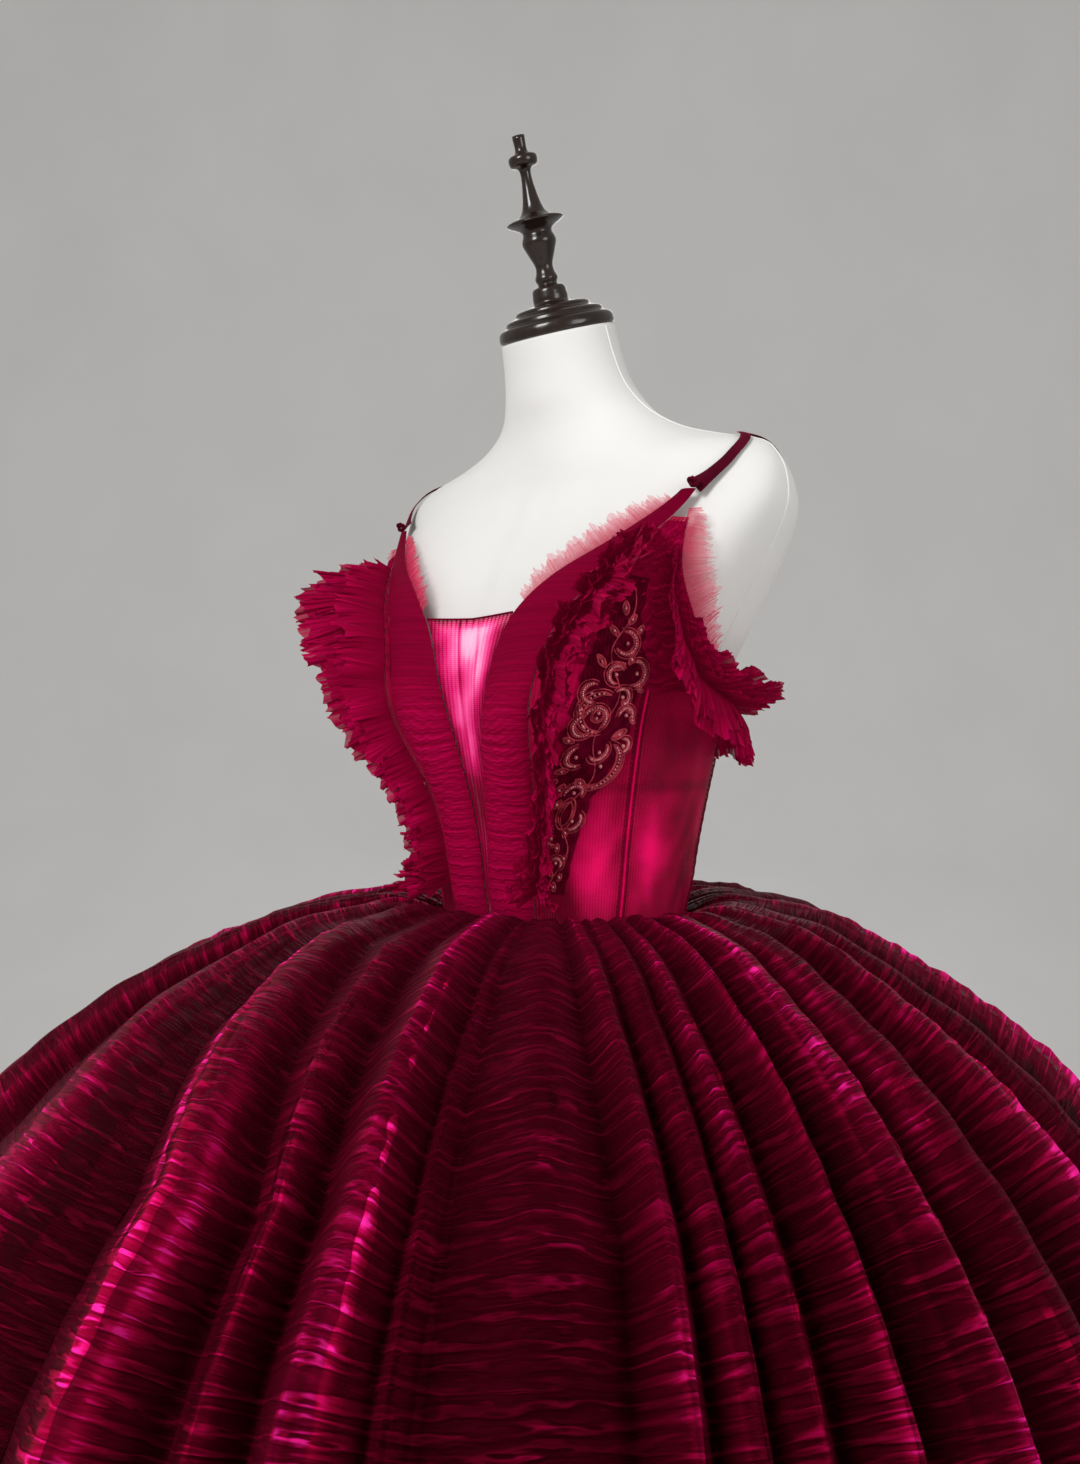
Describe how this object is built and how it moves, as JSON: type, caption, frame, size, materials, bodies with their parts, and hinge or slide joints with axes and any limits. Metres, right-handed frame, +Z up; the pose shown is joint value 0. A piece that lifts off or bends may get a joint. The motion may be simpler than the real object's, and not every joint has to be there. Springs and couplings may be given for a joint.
{
  "type": "ball gown on a limbless dress form",
  "caption": "Full-length ball gown with a plunging boned bodice, tulle ruffles and a vast gathered organza skirt, worn by a limbless dress form on a round stand.",
  "frame": {"origin": "centre of the stand base's flat underside, on the floor under the middle of the waist", "axes": "+Z up along the stand pole, -Y is the way the gown faces, +X is the wearer's left"},
  "size_m": [1.4239, 1.4065, 1.7099],
  "materials": {
    "velvet": "soft dark wine velvet and satin edging",
    "mesh": "translucent fine crimson mesh",
    "net": "sheer pink-red net",
    "tulle": "finely pleated wine tulle",
    "pale_tulle": "thin translucent pink tulle",
    "organza": "crinkled crimson organza with a magenta sheen",
    "underskirt": "dark crimson layered underskirt",
    "lace": "corded lace with beads",
    "form_cloth": "matte off-white jersey cover",
    "dark_wood": "glossy near-black turned wood"
  },
  "bodies": {
    "root": {"form_torso": "form_cloth", "neck_finial": "dark_wood", "stand_pole": "dark_wood", "stand_base": "dark_wood", "modesty_panel": "net", "underskirt": "underskirt", "front_panel_left": "mesh", "side_panel_left": "mesh", "back_panel_left": "mesh", "neckline_band_left": "velvet", "bone_casing_front_left": "mesh", "bone_casing_side_left": "mesh", "applique_left": "lace", "ruffle_front_left": "tulle", "ruffle_arm_left": "tulle", "frill_neck_left": "pale_tulle", "frill_arm_left": "pale_tulle", "strap_left": "velvet", "strap_knot_left": "velvet", "front_panel_right": "mesh", "side_panel_right": "mesh", "back_panel_right": "mesh", "neckline_band_right": "velvet", "bone_casing_front_right": "mesh", "bone_casing_side_right": "mesh", "applique_right": "lace", "ruffle_front_right": "tulle", "ruffle_arm_right": "tulle", "frill_neck_right": "pale_tulle", "frill_arm_right": "pale_tulle", "strap_right": "velvet", "strap_knot_right": "velvet", "skirt_gore_1": "organza", "skirt_gore_2": "organza", "skirt_gore_3": "organza", "skirt_gore_4": "organza", "skirt_gore_5": "organza", "skirt_gore_6": "organza", "skirt_gore_7": "organza", "skirt_gore_8": "organza"}
  },
  "joints": []
}
